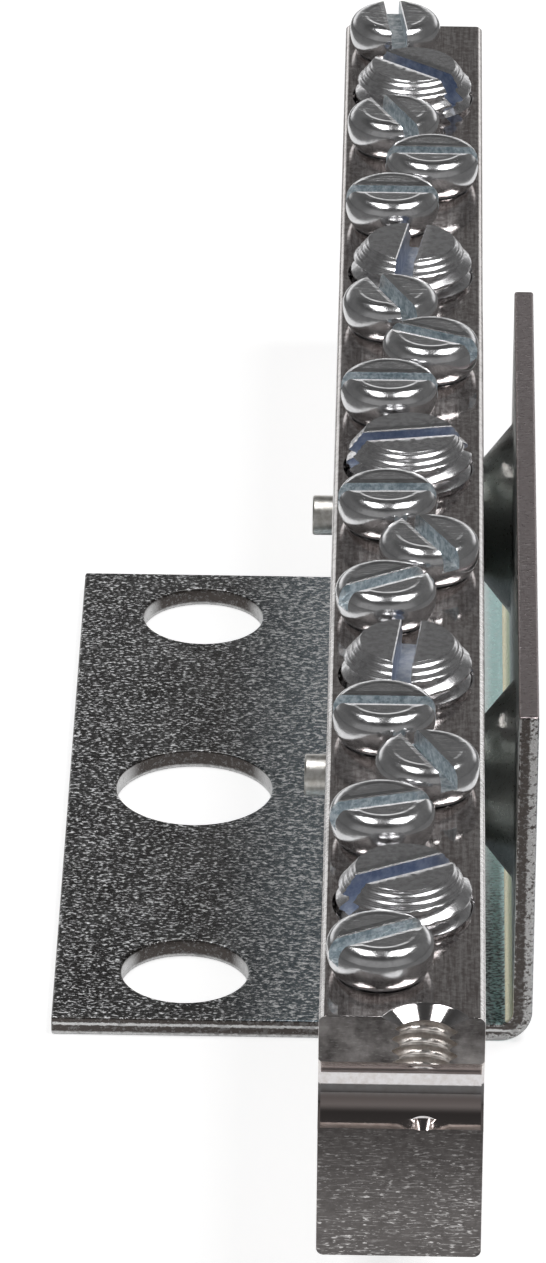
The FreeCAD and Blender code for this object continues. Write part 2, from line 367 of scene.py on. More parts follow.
# Painted reflected light in the gap beside the bar, and the darker tone of its cracks
GAP_PAINTED_WHITE, GAP_PAINTED_TURQUOISE, GAP_CRACK = (0.98, 1.0, 1.0), (0.50, 0.78, 0.76), (0.10, 0.13, 0.13)
FOLD_PAINTED_YELLOW, FLANGE_INNER_PAINTED = (0.86, 0.82, 0.60), (0.66, 0.72, 0.71)
# The flange's outside, its top, and the painted glints of the grains
FLANGE_OUTER, FLANGE_TOP, PAINTED_GLINT = (0.30, 0.31, 0.32), (0.40, 0.345, 0.345), (0.95, 0.96, 0.97)


def coat_places(place):
    """Where the sheet is the level plate, and where it is in the gap between bar and flange."""
    x, _, z = place.xyz()
    return z < SHEET + 0.1, (x > GAP_START) * (x < FLANGE_INSIDE + 0.1)


def zinc_coat(place, up, grain, flecks):
    """The coat's colour with its painted reflected light, and how much of it is painted glints."""
    x, y, z = place.xyz()
    on_plate, in_gap = coat_places(place)
    near_bar = x.smooth(*NEAR_BAR) * on_plate
    coat = noise(place, 0.35, 2.0).smooth(0.3, 0.7).blend(COAT_DARK, COAT_PALE)
    # Painted reflected light: next to the bar the plate is bluer and lighter
    coat = near_bar.blend(coat, PAINTED_REFLECTION_BLUE)
    crackle = (grain.smooth(0.42, 0.58) + y.smooth(*CRACKLE_END)).between(0.0, 1.0)
    # Painted reflected light on the floor of the gap, patchy towards the front
    painted_gap_floor = x.smooth(GAP_START + 0.1, GAP_START + 1.1).blend(GAP_PAINTED_WHITE, GAP_PAINTED_TURQUOISE)
    coat = (in_gap * on_plate).blend(coat, crackle.blend(GAP_CRACK, painted_gap_floor))
    # Painted reflections in the fold and on the flange's inside
    coat = (in_gap * (1 - on_plate)).blend(coat, z.smooth(2.0, 5.0).blend(FOLD_PAINTED_YELLOW, FLANGE_INNER_PAINTED))
    coat = (x > FLANGE_INSIDE + 0.1).blend(coat, FLANGE_OUTER)
    top = (z > bracket_high.z / MM - 0.1) * (up > 0.5)
    coat = top.blend(coat, FLANGE_TOP)
    rim = 1 - (x - FLANGE_INSIDE).smooth(0.1, 0.2)
    # Grains as painted glints, with more of them next to the bar as painted reflected light
    shine = grain.smooth(0.545, 0.62) * 0.9 + flecks.smooth(0.57, 0.65) * 0.35
    shine = shine + flecks.smooth(0.52, 0.60) * near_bar * 0.8
    shine = shine.between(0.0, 1.0) * (1 - in_gap * 0.8) * (1 - top * (0.9 - rim * 0.5))
    return shine.blend(coat, PAINTED_GLINT), shine


print("gap from", round(GAP_START, 2), "to", round(FLANGE_INSIDE, 2), "mm")

# %% Sheared edges of the bracket
FOLD = SHEET + 0.8
# Dark steel of the cuts, and one bright colour for torn steel, burrs and the painted reflections and glints
# on them
STEEL_DARK, STEEL_TORN_AND_REFLECTION = (0.085, 0.075, 0.07), (0.92, 0.92, 0.92)


def sheared(place, normal, grain):
    """Where the sheet is cut, where its ends were sheared, and where the cut is torn bright or has a painted
    reflection.
    """
    x, y, z = place.xyz()
    aside, lean, up = normal.xyz()
    wall = (abs(up) < 0.6) * (z < SHEET - 0.05)
    end = (abs(lean) > 0.8) * (abs(y) > bracket_high.y / MM - 0.12)
    level = z + grain * 0.25
    ragged = 1 - level.smooth(0.25, 0.45)
    band = 1 - abs(level - 0.92).smooth(0.05, 0.12)
    # The sides of the holes that face left and right get a painted bright reflection
    painted_hole_reflection = abs(aside).smooth(0.70, 0.97) * wall * (x > bracket_low.x / MM + 0.3)
    cut_face = wall.math("MAXIMUM", end)
    return cut_face, end, (ragged + band * end + painted_hole_reflection).between(0.0, 1.0) * cut_face


def fold_burr(place, grain):
    """Bright grit along both skins of the folded sheet, measured through its thickness."""
    x, _, z = place.xyz()
    out = (x - (bracket_high.x / MM - FOLD)).math("MAXIMUM", 0.0)
    down = (FOLD - z).math("MAXIMUM", 0.0)
    through = (out * out + down * down).math("SQRT") - (FOLD - SHEET)
    burr = (through + grain * 0.5).smooth(0.88, 1.08) * grain.smooth(0.38, 0.52)
    beads = (1 - abs(through - 0.1).smooth(0.04, 0.1)) * grain.smooth(0.50, 0.56)
    return (burr + beads * 0.7).between(0.0, 1.0) * x.smooth(GAP_START - 1.7, GAP_START + 0.3)


print("fold of", round(FOLD, 2), "mm outside radius")

# %% Bracket finish
BOW = 0.1


def bracket_zinc():
    material, net, place, normal = new_metal("bracket_zinc")
    x, y, z = place.xyz()
    stretched = net.join(x * 0.75, y * 1.2, z)
    grain = noise(stretched, 4.6, 3.0, 0.7)
    flecks = noise(stretched.vector("ADD", (7.3, 2.1, 4.4)), 2.8, 4.0, 0.7)
    coat, shine = zinc_coat(place, normal.xyz()[2], grain, flecks)
    cut_face, end, tear_and_reflection = sheared(place, normal, grain)
    grit = fold_burr(place, grain) * end
    # Cut faces: torn steel, burrs, painted reflections on the hole sides and painted glints, all in the
    # bright colour
    steel = (tear_and_reflection + grit + shine * 0.2).between(0.0, 1.0).blend(STEEL_DARK, STEEL_TORN_AND_REFLECTION)
    colour = cut_face.blend(coat, steel)
    # Glints, torn steel, burrs and painted reflections are less metallic, so they stay light
    metal = (1 - shine * 0.85 - tear_and_reflection * 0.5 - grit * 0.85).between(0.0, 1.0)
    on_plate, in_gap = coat_places(place)
    along = y + bracket_high.y / MM
    height = grain + flecks * 0.5 - in_gap * on_plate * along * along * BOW
    return set_metal(material, colour, 0.20 + grain * 0.2, height, 0.7, 0.04, metal)


finish["bracket_zinc"] = bracket_zinc()
print("bracket finish:", len(finish["bracket_zinc"].node_tree.nodes), "nodes")

# %% [markdown]
# ### Plated screws and rivets
# The screws have the same zinc, but barrel-polished and bright. A blue tint of the plating is left in their
# slots, and fine rings from turning on the lug screws. The slots could be tinted by place, but every screw
# is turned another way, so they have finishes of their own. One pattern in colour, roughness and dents is
# enough on faces as small as these and on the rivets.

# %% Screw finishes
def screw_zinc():
    material, net, place, normal = new_metal("screw_zinc")
    x, y, z = place.xyz()
    swirl = noise(place, 0.9, 3.0, 0.6)
    stains = noise(place, 3.0, 4.0, 0.65)
    scrapes = noise(net.join(x * 0.5, y * 2.5, z * 1.2), 1.0, 3.0, 0.65)
    flat = (normal.xyz()[2] > 0.97) * scrapes
    colour = swirl.smooth(0.3, 0.75).blend((0.70, 0.70, 0.71), (0.86, 0.86, 0.87))
    colour = (stains.smooth(0.55, 0.75) * 0.5).blend(colour, (0.52, 0.50, 0.52))
    return set_metal(material, colour, 0.08 + stains * 0.2, swirl + stains * 0.25 + flat * 2.0, 0.5, 0.03)


def lug_zinc():
    material, net, place, _ = new_metal("lug_zinc")
    x, y, z = place.xyz()
    turning = noise(net.join(x * 0.3, y * 0.3, z * 7.0), 1.0, 2.0)
    stains = noise(place, 2.6, 4.0, 0.65)
    colour = stains.smooth(0.35, 0.7).blend((0.80, 0.80, 0.81), (0.52, 0.51, 0.52))
    return set_metal(material, colour, 0.12 + stains * 0.2, turning * 0.5 + stains * 0.3, 0.4, 0.03)


finish["screw_zinc"] = screw_zinc()
finish["lug_zinc"] = lug_zinc()
print("finishes so far:", ", ".join(finish))


# %% Slot and rivet finishes
def mottled(name, pattern, tones, colours, gloss, dents):
    """A metal with one cloudy pattern in its colour, its roughness and its dents."""
    material, _, place, _ = new_metal(name)
    cloud = noise(place, *pattern)
    colour = cloud.smooth(*tones).blend(*colours)
    finish[name] = set_metal(material, colour, gloss[0] + cloud * gloss[1], cloud, *dents)


SLOT_BLUE = ((0.42, 0.49, 0.53), (0.95, 0.98, 1.0))
LUG_SLOT_BLUE = ((0.46, 0.52, 0.66), (0.84, 0.88, 0.95))
RIVET_GREY = ((0.56, 0.54, 0.50), (0.80, 0.79, 0.76))
mottled("slot_zinc", (2.2, 4.0, 0.75), (0.35, 0.65), SLOT_BLUE, (0.22, 0.3), (0.8, 0.1))
mottled("lug_slot_zinc", (1.4, 4.0, 0.7), (0.3, 0.7), LUG_SLOT_BLUE, (0.22, 0.25), (0.4, 0.04))
mottled("rivet_steel", (2.5, 3.0, 0.6), (0.3, 0.7), RIVET_GREY, (0.28, 0.2), (0.3, 0.03))
print("finishes:", ", ".join(finish))

# %% [markdown]
# ## Trees that build meshes
# What is turned on a lathe, such as a screw or a drill, is one rule: a grid whose columns go round the axis
# and whose rows follow the outline. Each stretch of the outline adds its own step to the radius and to the
# height. The Screw modifier could turn an outline too, but here the radius stays a formula, which a thread
# needs. The same helper makes a screw, a rivet and the cutter that drills a hole.

# %% Start and end a tree
def new_tree(name, sizes):
    """A geometry tree with named inputs; returns its net and the inputs as values."""
    tree = bpy.data.node_groups.new(name, "GeometryNodeTree")
    kinds = {"Stock": "NodeSocketGeometry", "Place": "NodeSocketVector"}
    for label in sizes:
        tree.interface.new_socket(label, in_out="INPUT", socket_type=kinds.get(label, "NodeSocketFloat"))
    tree.interface.new_socket("Geometry", in_out="OUTPUT", socket_type="NodeSocketGeometry")
    net = Net(tree)
    start = net.node("NodeGroupInput")
    return net, [start.out(label) for label in sizes]


def end_tree(net, geometry, material):
    """Realise what is instanced and give it its finish."""
    whole = net.node("GeometryNodeRealizeInstances", {}, {0: geometry})
    return net.node("GeometryNodeSetMaterial", {}, {"Geometry": whole, "Material": material})


def made_by(net, geometry, name, values, stock=None):
    """Run a tree once with these inputs and keep the result as a plain mesh piece."""
    tree = net.tree
    if "Group Output" not in tree.nodes:
        net.node("NodeGroupOutput", {"name": "Group Output"}, {0: geometry})
    piece = bpy.data.objects.new(name, stock or bpy.data.meshes.new(name))
    bpy.context.scene.collection.objects.link(piece)
    build = piece.modifiers.new("build", "NODES")
    build.node_group = tree
    for item in tree.interface.items_tree:
        if item.in_out == "INPUT" and item.name in values:
            build[item.identifier] = values[item.name]
    graph = bpy.context.evaluated_depsgraph_get()
    mesh = bpy.data.meshes.new_from_object(piece.evaluated_get(graph), depsgraph=graph)
    piece.modifiers.remove(build)
    mesh.name = name
    piece.data = mesh
    return piece


print("tree helpers ready")

# %% Turn, move and cut
SEAM = 1e-6


def turned(net, around, stretches, shaped=None):
    """A closed turned mesh about Z. A stretch is (rows, radius step, height step, bend).

    A shaping rule gets the outline's radius, the row, the height and the angle, and gives the radius."""
    rows = sum(stretch[0] for stretch in stretches)
    grid = net.node("GeometryNodeMeshGrid", {}, {
        "Size X": 1.0, "Size Y": float(rows), "Vertices X": around + 1, "Vertices Y": rows + 1})
    x, y, _ = net.node("GeometryNodeInputPosition").xyz()
    angle = (0.5 - x) * math.tau
    row = y + rows / 2
    radius = 0.0
    height = 0.0
    start = 0
    for count, out, up, bend in stretches:
        share = row.between(start, start + count)
        rise = (share * (math.pi / 2)).math("SINE")
        ease = 1 - (share * (math.pi / 2)).math("COSINE")
        along = {"line": (share, share), "over": (rise, ease), "under": (ease, rise)}[bend]
        radius = radius + out * along[0]
        height = height + up * along[1]
        start += count
    if shaped:
        radius = shaped(radius, row, height, angle)
    ring = net.join(radius * angle.math("COSINE"), radius * angle.math("SINE"), height)
    body = net.node("GeometryNodeSetPosition", {}, {"Geometry": grid, "Position": ring})
    return net.node("GeometryNodeMergeByDistance", {}, {"Geometry": body, "Distance": SEAM})


def helix(crest, depth, pitch, height, angle):
    """Radius of a screw thread: flat crests and roots with sloping flanks between."""
    turn = (height / pitch - angle / math.tau).math("FRACT")
    flank = (abs(turn - 0.5) * 2).between(0.16, 0.78)
    return crest - flank * depth


def moved(net, geometry, shift=(0, 0, 0), turn=(0, 0, 0)):
    sockets = {"Geometry": geometry, "Translation": shift, "Rotation": turn}
    return net.node("GeometryNodeTransform", {}, sockets)


def cut(net, body, *cutters):
    """Take the cutters out of a body, one after the other."""
    for cutter in cutters:
        body = net.node("GeometryNodeMeshBoolean", {"operation": "DIFFERENCE", "solver": "EXACT"},
                        {"Mesh 1": body, "Mesh 2": cutter})
    return body


print("points closer than", SEAM, "m are merged")

# %% Shade and seat a piece
def shade(piece, angle=32):
    """Smooth shading that keeps corners sharper than the angle, weighted so that flats stay flat."""
    piece.data.shade_smooth()
    piece.data.set_sharp_from_angle(angle=math.radians(angle))
    even = piece.modifiers.new("flat faces first", "WEIGHTED_NORMAL")
    even.keep_sharp = True
    even.weight = 100


def seat(piece, body, slot, *nodes):
    """Let a finished piece ride on its body and stand for its nodes."""
    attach(piece, body)
    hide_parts(*nodes)
    print(piece.name, "rides on", body, "with", len(piece.data.polygons), "faces")


# %% [markdown]
# ## The slotted screws
# Every terminal has a screw with a driver slot milled across its top. A plain block as a cutter would leave
# razor edges. So the lower points of a block are moved into the slot's own outline, with a flare at each
# edge and a very shallow roll beside it, and the Boolean then cuts floor, walls and edges at once.

# %% Driver slots
SLOT_FLARE = 0.07 * MM
SLOT_ROLL = 0.34 * MM
ROLL_SLOPE = 0.18
SLOT_TAPER = 0.01 * MM
PAST = 1.0 * MM


def slotted(net, body, width, depth, turn):
    """Cut a driver slot across a screw's top, with flared edges on a wider, very shallow roll.

    The cutter is a block whose underside has eight rows of points: each half of it goes from the slot's floor
    (0) up the wall (1), over the flare (2) and out along the roll (3)."""
    block = net.node("GeometryNodeMeshCube", {}, {"Size": (0.02, 2.0, 2.0), "Vertices Y": 8})
    x, y, z = net.node("GeometryNodeInputPosition").xyz()
    row = abs(y) * 3.5 - 0.5
    wall, flare, roll = (row.between(k, k + 1) for k in range(3))
    wide = SLOT_ROLL - SLOT_FLARE
    deep = ROLL_SLOPE * wide
    across = width / 2 - SLOT_TAPER + wall * SLOT_TAPER + flare * SLOT_FLARE + roll * (wide + PAST)
    under = wall * (depth - deep - SLOT_FLARE) - depth + flare * SLOT_FLARE
    under = under + roll * (deep + ROLL_SLOPE * PAST)
    level = under + (z > 0) * (PAST - under)
    spot = net.join(x, across * y.math("SIGN"), level)
    cutter = net.node("GeometryNodeSetPosition", {}, {"Geometry": block, "Position": spot})
    return cut(net, body, moved(net, cutter, (0, 0, 0), net.join(0.0, 0.0, turn)))


def two_finishes(net, body, place, floor, width, turn, outside, inside):
    """Place a screw; its slot's walls and floor get the finish of the slot."""
    spot = net.node("GeometryNodeInputPosition").vector("SUBTRACT", place)
    x, y, z = spot.xyz()
    across = abs(y * turn.math("COSINE") - x * turn.math("SINE"))
    in_slot = (across < width / 2 + 0.002 * MM) * (z > floor - 0.01 * MM)
    whole = end_tree(net, moved(net, body, place), finish[outside])
    sockets = {"Geometry": whole, "Selection": in_slot, "Material": finish[inside]}
    return net.node("GeometryNodeSetMaterial", {}, sockets)


print("slot edges are flared by", round(SLOT_FLARE / MM, 3), "mm")

# %% [markdown]
# ### Lug screws
# The five large screws have no head: their thread runs up into a cone, on which turning left fine ridges.
# Modelling each by hand would repeat the same work, so one tree makes them all. The slot's direction is an
# input, because every screw was left at the turn at which it was last tightened.

# %% Lug screws
RIDGE_STEP = 0.36 * MM
RIDGE = 0.036 * MM
LUG = {"Lead": 1.12 * MM, "Lead Height": 1.45 * MM, "Point": 0.75 * MM, "Pitch": 25.4 / 24 * MM,
       "Depth": 0.62 * MM, "Slot Width": 1.2 * MM, "Slot Depth": 2.3 * MM}
LUG_TURNS = [29, 85, 11, 82, -40]


def lug_screw_tree():
    net, values = new_tree("lug_screw", ["Place", "Radius", "Length", *LUG, "Turn"])
    place, radius, length, lead, fall, point, pitch, depth, width, slot, turn = values
    flat, cone = 6, 44

    def thread(outline, row, height, angle):
        on_cone = row.between(flat, flat + 2) * (1 - row.between(flat + cone - 2, flat + cone))
        ridge = (height * (math.tau / RIDGE_STEP) - angle).math("SINE") * RIDGE
        return (outline + ridge * on_cone).math("MINIMUM", helix(radius, depth, pitch, height, angle))

    body = turned(net, 120, [
        (flat, radius - lead, 0.0, "line"),
        (cone, lead, 0 - fall, "line"),
        (60, 0.0, fall + point - length, "line"),
        (10, 0 - point, 0 - point, "line"),
        (4, point - radius, 0.0, "line"),
    ], thread)
    body = slotted(net, body, width, slot, turn)
    return net, two_finishes(net, body, place, 0 - slot, width, turn, "lug_zinc", "lug_slot_zinc")


lug_net, lug_geometry = lug_screw_tree()
for node, degrees in zip(lug_screws, LUG_TURNS):
    low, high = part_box(node)
    spot = middle(node)
    sizes = {**LUG, "Place": (spot.x, spot.y, high.z), "Radius": (high.x - low.x) / 2,
             "Length": high.z - low.z, "Turn": math.radians(degrees)}
    piece = made_by(lug_net, lug_geometry, f"{node}_turned", sizes)
    shade(piece)
    seat(piece, node, "screw_zinc", node)

# %% [markdown]
# ### Small screws
# The fourteen small screws have a flat head with a raised rim, a round edge and a rounded underside, which
# mirrors the bar it stands on. Head and thread are one turned outline, so no seam shows between them: in the
# head the outline alone gives the radius, and below it the thread cuts into it.

# %% Small screws
SMALL = {"Edge Round": 1.0 * MM, "Rim": 0.2 * MM, "Rim Height": 0.036 * MM, "Under Height": 1.75 * MM,
         "Thread Radius": 2.083 * MM, "Point": 1.0 * MM, "Pitch": 25.4 / 32 * MM, "Depth": 0.45 * MM,
         "Slot Width": 1.1 * MM, "Slot Depth": 1.3 * MM}
HEAD_ROWS = (6, 2, 18, 3, 18)
HEAD_SINK = 0.2 * MM
LEFT_TURNS = [30, 18, 0, 32, 2, 0, 114, 0, 114, 96]
RIGHT_TURNS = [115, 117, -25, 0]


def small_screw_tree():
    net, values = new_tree("small_screw", ["Place", "Head Radius", "Head Height", "Length", *SMALL, "Turn"])
    place, head, tall, length, edge, rim, rise, under, radius, point, pitch, depth, width, slot, turn = values
    flat_rows, rim_rows, edge_rows, side_rows, under_rows = HEAD_ROWS

    def thread(outline, row, height, angle):
        in_head = row < sum(HEAD_ROWS) + 1.5
        return outline.math("MINIMUM", helix(radius, depth, pitch, height, angle) + in_head)

    body = turned(net, 72, [
        (flat_rows, head - edge - rim, 0.0, "line"),
        (rim_rows, rim, rise, "line"),
        (edge_rows, edge, 0 - edge, "over"),
        (side_rows, 0.0, edge + under - tall, "line"),
        (under_rows, radius - head, 0 - under, "under"),
        (66, 0.0, point - length, "line"),
        (8, 0 - point, 0 - point, "line"),
        (3, point - radius, 0.0, "line"),
    ], thread)
    body = moved(net, slotted(net, body, width, slot, turn), net.join(0.0, 0.0, 0 - rise))
    return net, two_finishes(net, body, place, 0 - slot - rise, width, turn, "screw_zinc", "slot_zinc")


small_net, small_geometry = small_screw_tree()
for node, degrees in zip(left_screws + right_screws, LEFT_TURNS + RIGHT_TURNS):
    low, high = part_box(node)
    spot = middle(node)
    tall = high.z - bar_high.z + HEAD_SINK
    sizes = {**SMALL, "Place": (spot.x, spot.y, high.z), "Head Radius": (high.x - low.x) / 2,
             "Head Height": tall, "Length": high.z - low.z - tall, "Turn": math.radians(degrees)}
    piece = made_by(small_net, small_geometry, f"{node}_turned", sizes)
    shade(piece, 8)
    seat(piece, node, "screw_zinc", node)

# %% [markdown]
# ## The drawn and drilled bar
# The stock is a rounded rectangle pulled along the bar's length, as the die made it. A cube with bevelled
# edges would do as well, but the outline keeps the die's corner radius and the saw's sharper ends apart.

# %% Bar stock
EDGE_ROUND = 0.45 * MM
EDGE_BREAK = 0.06 * MM
SHARP = math.radians(50)


def prism(name, outline, start, end, edge_break):
    """A closed outline in XZ pulled along Y, with its end corners lightly broken."""
    shape = bmesh.new()
    face = shape.faces.new([shape.verts.new((x, start, z)) for x, z in outline])
    pulled = bmesh.ops.extrude_face_region(shape, geom=[face], use_keep_orig=True)
    ends = [item for item in pulled["geom"] if isinstance(item, bmesh.types.BMVert)]
    bmesh.ops.translate(shape, verts=ends, vec=(0, end - start, 0))
    bmesh.ops.recalc_face_normals(shape, faces=shape.faces)
    sharp = [edge for edge in shape.edges if edge.calc_face_angle(0) > SHARP]
    bmesh.ops.bevel(shape, geom=sharp, offset=edge_break, segments=2, profile=0.5, affect="EDGES")
    mesh = bpy.data.meshes.new(name)
    shape.to_mesh(mesh)
    shape.free()
    return mesh


def arc(centre, radius, first, last, steps):
    """Points of an arc in XZ, by angle from +X towards +Z, in degrees."""
    angles = [math.radians(first + (last - first) * k / steps) for k in range(steps + 1)]
    return [(centre[0] + radius * math.cos(a), centre[1] + radius * math.sin(a)) for a in angles]


def rounded_section(low, high, radius):
    corners = [(high.x, high.z, 0), (low.x, high.z, 90), (low.x, low.z, 180), (high.x, low.z, 270)]
    inward = {0: (-1, -1), 90: (1, -1), 180: (1, 1), 270: (-1, 1)}
    points = []
    for x, z, first in corners:
        side, up = inward[first]
        points += arc((x + side * radius, z + up * radius), radius, first, first + 90, 8)
    return points


section = rounded_section(bar_low, bar_high, EDGE_ROUND)
bar_stock = prism("bar_stock", section, bar_low.y, bar_high.y, EDGE_BREAK)
print("bar stock:", len(bar_stock.polygons), "faces")

# %% [markdown]
# ### Drills and rows of holes
# Wire holes go across the bar, and tapped holes come down into them. A hole could be a cylinder taken out,
# but a deburring tool breaks its edges on the real bar. So each cutter flares where it leaves the metal, and
# the edges come out broken. A row of holes is a line of points with one cutter on every point.

# %% Drills and rows of holes
SMALL_WIRE = {"radius": 2.38125 * MM, "below": 5.18 * MM}
LARGE_WIRE = {"radius": 4.15 * MM, "below": 7.1 * MM}
MOUTH = 0.15 * MM
SPOT_MOUTH = 2.72 * MM
POINT_SLOPE = math.tan(math.radians(118 / 2))


def drill(net, radius, depth, mouth, slope=1.0):
    """A cutter that enters at height 0 and goes down, with a mouth that flares by the slope."""
    return moved(net, turned(net, 64, [
        (1, radius + mouth + PAST * slope, 0.0, "line"),
        (2, 0 - mouth - PAST * slope, 0 - mouth / slope - PAST, "line"),
        (4, 0.0, mouth / slope - depth, "line"),
        (1, 0 - radius, 0.0, "line"),
    ]), (0, 0, PAST))


def through_drill(net, radius, mouth):
    """A cutter across the whole width of the bar, flared at both sides."""
    half = bar_size.x / 2
    cutter = turned(net, 64, [
        (1, radius + mouth + PAST, 0.0, "line"),
        (2, -mouth - PAST, -mouth - PAST, "line"),
        (4, 0.0, 2 * (mouth - half), "line"),
        (2, mouth + PAST, -mouth - PAST, "line"),
        (1, 0 - radius - mouth - PAST, 0.0, "line"),
    ])
    return moved(net, moved(net, cutter, (0, 0, half + PAST)), (0, 0, 0), (0, math.pi / 2, 0))


def row_of(net, cutter, first, count, step):
    """The same cutter on every point of a line along the bar."""
    line = net.node("GeometryNodeMeshLine", {}, {
        "Count": count, "Start Location": first, "Offset": (0, step, 0)})
    placed = net.node("GeometryNodeInstanceOnPoints", {}, {"Points": line, "Instance": cutter})
    return net.node("GeometryNodeRealizeInstances", {}, {0: placed})


def joined(net, *parts):
    return net.node("GeometryNodeJoinGeometry", {}, {0: list(parts)})


print("a drill's point drops", round(1 / POINT_SLOPE, 3), "of its radius")

# %% [markdown]
# ### The sawn terminal
# At the front the saw went through a terminal, so half of its thread, half of its wire hole and the pocket
# of the tapping drill's point stand open. A picture of a thread would look flat in the open half hole, so
# the cutter itself has the thread, with the same rule as the screws.

# %% The sawn terminal
SAWN_THREAD = {"root": 2.1 * MM, "crest": 1.72 * MM, "pitch": 25.4 / 32 * MM}
POCKET = {"radius": 1.65 * MM, "depth": 8.02 * MM}


def sawn_tap(net):
    """The threaded hole with the shallow cone of a larger drill's point at its mouth."""
    root, crest, pitch = SAWN_THREAD.values()
    top = SPOT_MOUTH + PAST * POINT_SLOPE
    cone = (SPOT_MOUTH - crest) / POINT_SLOPE
    rows = 12

    def thread(outline, row, height, angle):
        grown = row.between(rows + 1, rows + 5)
        return outline + (helix(root, root - crest, pitch, height, angle) - crest) * grown

    body = turned(net, 96, [
        (1, top, 0.0, "line"),
        (rows, crest - top, -PAST - cone, "line"),
        (80, 0.0, cone - SMALL_WIRE["below"], "line"),
        (1, -crest, 0.0, "line"),
    ], thread)
    return moved(net, body, (0, 0, PAST))


def drill_pocket(net):
    """What the tapping drill's point took out of the wire hole's floor."""
    radius, depth = POCKET.values()
    point = radius / POINT_SLOPE
    body = turned(net, 64, [
        (1, radius, 0.0, "line"),
        (4, 0.0, point + SMALL_WIRE["below"] - depth, "line"),
        (6, -radius, -point, "line"),
    ])
    return moved(net, body, (0, 0, -SMALL_WIRE["below"]))


print("the open thread is", round((SAWN_THREAD["root"] - SAWN_THREAD["crest"]) / MM, 2), "mm deep")

# %% [markdown]
# ### Drill the bar
# One tree drills the whole bar, with the radius of each kind of hole as an input. All the tapped holes are
# one cutter, all the wire holes a second and the rivet holes a third, because cutters of one kind don't
# touch each other and three cuts are much quicker than one for every hole.

# %% Drill the bar
THREAD_PLAY = 0.05 * MM
RIVET_SHANK = 1.3 * MM
RIVET_PLAY = 0.03 * MM
SMALL_ROWS = {"left_screw_1": 5, "left_screw_2": 5, "right_screw_1": 4}
lug_low, lug_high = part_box("lug_screw_1")
HOLES = {"Small Tap": SMALL["Thread Radius"] + THREAD_PLAY, "Small Wire": SMALL_WIRE["radius"],
         "Lug Tap": (lug_high.x - lug_low.x) / 2 + THREAD_PLAY, "Lug Wire": LARGE_WIRE["radius"],
         "Rivet Hole": RIVET_SHANK + RIVET_PLAY}


def drilled_bar():
    net, (stock, *radii) = new_tree("drilled_bar", ["Stock", *HOLES])
    small_tap, small_wire, lug_tap, lug_wire, rivet_hole = radii
    top = bar_high.z
    centre_x = (bar_low.x + bar_high.x) / 2
    small_drill = drill(net, small_tap, SMALL_WIRE["below"], SPOT_MOUTH - small_tap, POINT_SLOPE)
    small_cross = through_drill(net, small_wire, MOUTH)
    sawn_place = (middle("right_screw_1").x, middle("right_screw_1").y - repeat, top)
    taps = [moved(net, sawn_tap(net), sawn_place)]
    wires = []
    for first, count in SMALL_ROWS.items():
        spot = middle(first)
        taps.append(row_of(net, small_drill, (spot.x, spot.y, top), count, repeat))
        wires.append(row_of(net, small_cross, (centre_x, spot.y, top - SMALL_WIRE["below"]), count, repeat))
    wires.append(moved(net, small_cross, (centre_x, sawn_place[1], top - SMALL_WIRE["below"])))
    spot = middle("lug_screw_1")
    lug_drill = drill(net, lug_tap, LARGE_WIRE["below"], MOUTH)
    taps.append(row_of(net, lug_drill, (spot.x, spot.y, top), len(lug_screws), repeat))
    lug_cross = through_drill(net, lug_wire, MOUTH)
    lug_start = (centre_x, spot.y, top - LARGE_WIRE["below"])
    wires.append(row_of(net, lug_cross, lug_start, len(lug_screws), repeat))
    rivet = middle("rivet_front")
    rivet_step = middle("rivet_rear").y - rivet.y
    rivet_cross = through_drill(net, rivet_hole, MOUTH)
    rivets = row_of(net, rivet_cross, (centre_x, rivet.y, rivet.z), 2, rivet_step)
    pocket = moved(net, drill_pocket(net), sawn_place)
    body = cut(net, stock, joined(net, *taps), joined(net, *wires), joined(net, rivets, pocket))
    geometry = end_tree(net, body, finish["bar_aluminium"])
    return made_by(net, geometry, "terminal_bar_drilled", HOLES, bar_stock)


bar = drilled_bar()
shade(bar)
seat(bar, "bar_and_bracket", "bar_aluminium", "terminal_bar")

# %% [markdown]
# ## The folded bracket
# One sheet is folded up beside the bar, with two cones pressed out of it that hold the bar off the flange.
# The sheet could be folded again here, but the solid already has its true thickness and fold. So its mesh
# is copied and merged, and its corners are broken as shearing and plating leave them.

# %% Bracket
SHEET_BREAK = 0.16 * MM
FLAT = math.radians(0.5)


def folded_bracket():
    shape = bmesh.new()
    shape.from_mesh(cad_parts["mounting_bracket"].data)
    bmesh.ops.remove_doubles(shape, verts=shape.verts, dist=SEAM)
    bmesh.ops.dissolve_limit(shape, angle_limit=FLAT, verts=shape.verts, edges=shape.edges)
    sharp = [edge for edge in shape.edges if edge.calc_face_angle(0) > SHARP]
    bmesh.ops.bevel(shape, geom=sharp, offset=SHEET_BREAK, segments=2, profile=0.5, affect="EDGES")
    mesh = bpy.data.meshes.new("mounting_bracket_folded")
    shape.to_mesh(mesh)
    shape.free()
    mesh.materials.clear()
    mesh.materials.append(finish["bracket_zinc"])
    piece = bpy.data.objects.new("mounting_bracket_folded", mesh)
    bpy.context.scene.collection.objects.link(piece)
    return piece


bracket = folded_bracket()
shade(bracket, 40)
seat(bracket, "bar_and_bracket", "bracket_zinc", "mounting_bracket")

# %% [markdown]
# ## The rivets
# Two drive rivets go through the cones and the bar: a domed head outside the flange, and a dished tail on
# the bar's open side. Two copies of a mesh would do, but the turning rule is at hand: each is turned once
# and set on two points of a line.

# %% Rivets
RIVET = {"Shank Radius": RIVET_SHANK, "Dome": 0.8 * MM, "Head Height": 1.3 * MM, "Bevel": 0.15 * MM,
         "Dish": 0.25 * MM}


